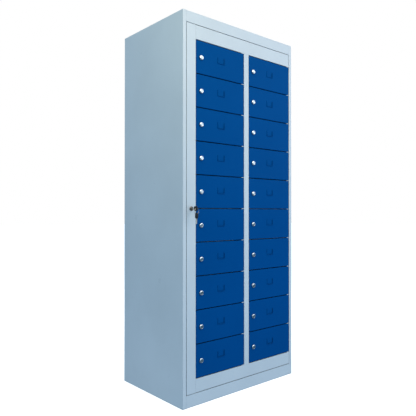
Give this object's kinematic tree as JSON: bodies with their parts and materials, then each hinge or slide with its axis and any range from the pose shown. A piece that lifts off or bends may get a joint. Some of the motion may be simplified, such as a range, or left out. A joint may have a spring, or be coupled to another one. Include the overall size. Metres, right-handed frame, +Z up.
{
  "type": "compartment locker",
  "caption": "Tall steel locker cabinet: one lockable master door carries two columns of small hinged doors, each with its own cylinder lock and card holder.",
  "frame": {"origin": "centre of the cabinet's footprint, on the floor", "axes": "+Z up, -Y towards the doors (front), +X to the right seen from the front"},
  "size_m": [0.755, 0.5485, 1.8],
  "materials": {
    "grey_paint": "light grey powder coat, fine texture, satin",
    "blue_paint": "blue powder coat, fine texture, satin",
    "zinc_steel": "zinc-plated steel",
    "chrome": "bright nickel-plated lock parts",
    "key_steel": "nickel-plated key metal",
    "black_plastic": "moulded black plastic"
  },
  "bodies": {
    "cabinet": {"front_frame": "grey_paint", "left_side_panel": "grey_paint", "right_side_panel": "grey_paint", "back_panel": "grey_paint", "top_panel": "grey_paint", "floor_panel": "grey_paint", "base_channels": "zinc_steel", "centre_partition": "grey_paint", "shelves": "grey_paint"},
    "master_door": {"master_door_frame": "grey_paint", "hinge_brackets": "grey_paint", "master_lock_body": "chrome"},
    "master_lock": {"master_lock_plug": "chrome", "master_key_blade": "key_steel", "master_key_bow": "black_plastic"},
    "upper_locking_rod": {"upper_rod": "zinc_steel"},
    "lower_locking_rod": {"lower_rod": "zinc_steel"},
    "ring": {"key_ring": "key_steel"},
    "spare_key": {"spare_key_bow": "black_plastic", "spare_key_blade": "key_steel"},
    "door_left_01": {"door_left_01": "blue_paint"},
    "lock_left_01": {"lock_left_01": "chrome"},
    "door_left_02": {"door_left_02": "blue_paint"},
    "lock_left_02": {"lock_left_02": "chrome"},
    "door_left_03": {"door_left_03": "blue_paint"},
    "lock_left_03": {"lock_left_03": "chrome"},
    "door_left_04": {"door_left_04": "blue_paint"},
    "lock_left_04": {"lock_left_04": "chrome"},
    "door_left_05": {"door_left_05": "blue_paint"},
    "lock_left_05": {"lock_left_05": "chrome"},
    "door_left_06": {"door_left_06": "blue_paint"},
    "lock_left_06": {"lock_left_06": "chrome"},
    "door_left_07": {"door_left_07": "blue_paint"},
    "lock_left_07": {"lock_left_07": "chrome"},
    "door_left_08": {"door_left_08": "blue_paint"},
    "lock_left_08": {"lock_left_08": "chrome"},
    "door_left_09": {"door_left_09": "blue_paint"},
    "lock_left_09": {"lock_left_09": "chrome"},
    "door_left_10": {"door_left_10": "blue_paint"},
    "lock_left_10": {"lock_left_10": "chrome"},
    "door_right_01": {"door_right_01": "blue_paint"},
    "lock_right_01": {"lock_right_01": "chrome"},
    "door_right_02": {"door_right_02": "blue_paint"},
    "lock_right_02": {"lock_right_02": "chrome"},
    "door_right_03": {"door_right_03": "blue_paint"},
    "lock_right_03": {"lock_right_03": "chrome"},
    "door_right_04": {"door_right_04": "blue_paint"},
    "lock_right_04": {"lock_right_04": "chrome"},
    "door_right_05": {"door_right_05": "blue_paint"},
    "lock_right_05": {"lock_right_05": "chrome"},
    "door_right_06": {"door_right_06": "blue_paint"},
    "lock_right_06": {"lock_right_06": "chrome"},
    "door_right_07": {"door_right_07": "blue_paint"},
    "lock_right_07": {"lock_right_07": "chrome"},
    "door_right_08": {"door_right_08": "blue_paint"},
    "lock_right_08": {"lock_right_08": "chrome"},
    "door_right_09": {"door_right_09": "blue_paint"},
    "lock_right_09": {"lock_right_09": "chrome"},
    "door_right_10": {"door_right_10": "blue_paint"},
    "lock_right_10": {"lock_right_10": "chrome"}
  },
  "joints": [
    {"name": "master_door_hinge", "type": "hinge", "parent": "cabinet", "child": "master_door", "pos_m": [0.3502, -0.245, 0.9], "axis": [0, 0, 1], "range_deg": [0, 105]},
    {"name": "master_lock_turn", "type": "hinge", "parent": "master_door", "child": "master_lock", "pos_m": [-0.32885, -0.25, 0.9], "axis": [0, -1, 0], "range_deg": [0, 90]},
    {"name": "upper_rod_slide", "type": "slide", "parent": "master_door", "child": "upper_locking_rod", "axis": [0, 0, 1], "range_m": [0, 0.015]},
    {"name": "lower_rod_slide", "type": "slide", "parent": "master_door", "child": "lower_locking_rod", "axis": [0, 0, -1], "range_m": [0, 0.015]},
    {"name": "key_ring_swing", "type": "hinge", "parent": "master_lock", "child": "ring", "pos_m": [-0.32885, -0.288, 0.9], "axis": [1, 0, 0], "range_deg": [-15, 15]},
    {"name": "spare_key_swing", "type": "hinge", "parent": "ring", "child": "spare_key", "pos_m": [-0.32885, -0.288, 0.876], "axis": [1, 0, 0], "range_deg": [-20, 20]},
    {"name": "door_left_01_hinge", "type": "hinge", "parent": "master_door", "child": "door_left_01", "pos_m": [0.0045, -0.2465, 1.6015], "axis": [0, 0, -1], "range_deg": [-105, 0]},
    {"name": "door_left_02_hinge", "type": "hinge", "parent": "master_door", "child": "door_left_02", "pos_m": [0.0045, -0.2465, 1.4459], "axis": [0, 0, -1], "range_deg": [-105, 0]},
    {"name": "door_left_03_hinge", "type": "hinge", "parent": "master_door", "child": "door_left_03", "pos_m": [0.0045, -0.2465, 1.2903], "axis": [0, 0, -1], "range_deg": [-105, 0]},
    {"name": "door_left_04_hinge", "type": "hinge", "parent": "master_door", "child": "door_left_04", "pos_m": [0.0045, -0.2465, 1.1347], "axis": [0, 0, -1], "range_deg": [-105, 0]},
    {"name": "door_left_05_hinge", "type": "hinge", "parent": "master_door", "child": "door_left_05", "pos_m": [0.0045, -0.2465, 0.9791], "axis": [0, 0, -1], "range_deg": [-105, 0]},
    {"name": "door_left_06_hinge", "type": "hinge", "parent": "master_door", "child": "door_left_06", "pos_m": [0.0045, -0.2465, 0.8235], "axis": [0, 0, -1], "range_deg": [-105, 0]},
    {"name": "door_left_07_hinge", "type": "hinge", "parent": "master_door", "child": "door_left_07", "pos_m": [0.0045, -0.2465, 0.6679], "axis": [0, 0, -1], "range_deg": [-105, 0]},
    {"name": "door_left_08_hinge", "type": "hinge", "parent": "master_door", "child": "door_left_08", "pos_m": [0.0045, -0.2465, 0.5123], "axis": [0, 0, -1], "range_deg": [-105, 0]},
    {"name": "door_left_09_hinge", "type": "hinge", "parent": "master_door", "child": "door_left_09", "pos_m": [0.0045, -0.2465, 0.3567], "axis": [0, 0, -1], "range_deg": [-105, 0]},
    {"name": "door_left_10_hinge", "type": "hinge", "parent": "master_door", "child": "door_left_10", "pos_m": [0.0045, -0.2465, 0.2011], "axis": [0, 0, -1], "range_deg": [-105, 0]},
    {"name": "door_right_01_hinge", "type": "hinge", "parent": "master_door", "child": "door_right_01", "pos_m": [0.3505, -0.2465, 1.6015], "axis": [0, 0, -1], "range_deg": [-105, 0]},
    {"name": "door_right_02_hinge", "type": "hinge", "parent": "master_door", "child": "door_right_02", "pos_m": [0.3505, -0.2465, 1.4459], "axis": [0, 0, -1], "range_deg": [-105, 0]},
    {"name": "door_right_03_hinge", "type": "hinge", "parent": "master_door", "child": "door_right_03", "pos_m": [0.3505, -0.2465, 1.2903], "axis": [0, 0, -1], "range_deg": [-105, 0]},
    {"name": "door_right_04_hinge", "type": "hinge", "parent": "master_door", "child": "door_right_04", "pos_m": [0.3505, -0.2465, 1.1347], "axis": [0, 0, -1], "range_deg": [-105, 0]},
    {"name": "door_right_05_hinge", "type": "hinge", "parent": "master_door", "child": "door_right_05", "pos_m": [0.3505, -0.2465, 0.9791], "axis": [0, 0, -1], "range_deg": [-105, 0]},
    {"name": "door_right_06_hinge", "type": "hinge", "parent": "master_door", "child": "door_right_06", "pos_m": [0.3505, -0.2465, 0.8235], "axis": [0, 0, -1], "range_deg": [-105, 0]},
    {"name": "door_right_07_hinge", "type": "hinge", "parent": "master_door", "child": "door_right_07", "pos_m": [0.3505, -0.2465, 0.6679], "axis": [0, 0, -1], "range_deg": [-105, 0]},
    {"name": "door_right_08_hinge", "type": "hinge", "parent": "master_door", "child": "door_right_08", "pos_m": [0.3505, -0.2465, 0.5123], "axis": [0, 0, -1], "range_deg": [-105, 0]},
    {"name": "door_right_09_hinge", "type": "hinge", "parent": "master_door", "child": "door_right_09", "pos_m": [0.3505, -0.2465, 0.3567], "axis": [0, 0, -1], "range_deg": [-105, 0]},
    {"name": "door_right_10_hinge", "type": "hinge", "parent": "master_door", "child": "door_right_10", "pos_m": [0.3505, -0.2465, 0.2011], "axis": [0, 0, -1], "range_deg": [-105, 0]},
    {"name": "lock_left_01_turn", "type": "hinge", "parent": "door_left_01", "child": "lock_left_01", "pos_m": [-0.27075, -0.25, 1.6005], "axis": [0, -1, 0], "range_deg": [0, 90]},
    {"name": "lock_left_02_turn", "type": "hinge", "parent": "door_left_02", "child": "lock_left_02", "pos_m": [-0.27075, -0.25, 1.4449], "axis": [0, -1, 0], "range_deg": [0, 90]},
    {"name": "lock_left_03_turn", "type": "hinge", "parent": "door_left_03", "child": "lock_left_03", "pos_m": [-0.27075, -0.25, 1.2893], "axis": [0, -1, 0], "range_deg": [0, 90]},
    {"name": "lock_left_04_turn", "type": "hinge", "parent": "door_left_04", "child": "lock_left_04", "pos_m": [-0.27075, -0.25, 1.1337], "axis": [0, -1, 0], "range_deg": [0, 90]},
    {"name": "lock_left_05_turn", "type": "hinge", "parent": "door_left_05", "child": "lock_left_05", "pos_m": [-0.27075, -0.25, 0.9781], "axis": [0, -1, 0], "range_deg": [0, 90]},
    {"name": "lock_left_06_turn", "type": "hinge", "parent": "door_left_06", "child": "lock_left_06", "pos_m": [-0.27075, -0.25, 0.8225], "axis": [0, -1, 0], "range_deg": [0, 90]},
    {"name": "lock_left_07_turn", "type": "hinge", "parent": "door_left_07", "child": "lock_left_07", "pos_m": [-0.27075, -0.25, 0.6669], "axis": [0, -1, 0], "range_deg": [0, 90]},
    {"name": "lock_left_08_turn", "type": "hinge", "parent": "door_left_08", "child": "lock_left_08", "pos_m": [-0.27075, -0.25, 0.5113], "axis": [0, -1, 0], "range_deg": [0, 90]},
    {"name": "lock_left_09_turn", "type": "hinge", "parent": "door_left_09", "child": "lock_left_09", "pos_m": [-0.27075, -0.25, 0.3557], "axis": [0, -1, 0], "range_deg": [0, 90]},
    {"name": "lock_left_10_turn", "type": "hinge", "parent": "door_left_10", "child": "lock_left_10", "pos_m": [-0.27075, -0.25, 0.2001], "axis": [0, -1, 0], "range_deg": [0, 90]},
    {"name": "lock_right_01_turn", "type": "hinge", "parent": "door_right_01", "child": "lock_right_01", "pos_m": [0.07525, -0.25, 1.6005], "axis": [0, -1, 0], "range_deg": [0, 90]},
    {"name": "lock_right_02_turn", "type": "hinge", "parent": "door_right_02", "child": "lock_right_02", "pos_m": [0.07525, -0.25, 1.4449], "axis": [0, -1, 0], "range_deg": [0, 90]},
    {"name": "lock_right_03_turn", "type": "hinge", "parent": "door_right_03", "child": "lock_right_03", "pos_m": [0.07525, -0.25, 1.2893], "axis": [0, -1, 0], "range_deg": [0, 90]},
    {"name": "lock_right_04_turn", "type": "hinge", "parent": "door_right_04", "child": "lock_right_04", "pos_m": [0.07525, -0.25, 1.1337], "axis": [0, -1, 0], "range_deg": [0, 90]},
    {"name": "lock_right_05_turn", "type": "hinge", "parent": "door_right_05", "child": "lock_right_05", "pos_m": [0.07525, -0.25, 0.9781], "axis": [0, -1, 0], "range_deg": [0, 90]},
    {"name": "lock_right_06_turn", "type": "hinge", "parent": "door_right_06", "child": "lock_right_06", "pos_m": [0.07525, -0.25, 0.8225], "axis": [0, -1, 0], "range_deg": [0, 90]},
    {"name": "lock_right_07_turn", "type": "hinge", "parent": "door_right_07", "child": "lock_right_07", "pos_m": [0.07525, -0.25, 0.6669], "axis": [0, -1, 0], "range_deg": [0, 90]},
    {"name": "lock_right_08_turn", "type": "hinge", "parent": "door_right_08", "child": "lock_right_08", "pos_m": [0.07525, -0.25, 0.5113], "axis": [0, -1, 0], "range_deg": [0, 90]},
    {"name": "lock_right_09_turn", "type": "hinge", "parent": "door_right_09", "child": "lock_right_09", "pos_m": [0.07525, -0.25, 0.3557], "axis": [0, -1, 0], "range_deg": [0, 90]},
    {"name": "lock_right_10_turn", "type": "hinge", "parent": "door_right_10", "child": "lock_right_10", "pos_m": [0.07525, -0.25, 0.2001], "axis": [0, -1, 0], "range_deg": [0, 90]}
  ],
  "couplings": [
    {"joint": "master_lock_turn", "follows": "upper_rod_slide", "rad_per_m": 104.7},
    {"joint": "lower_rod_slide", "follows": "upper_rod_slide", "ratio": 1}
  ]
}
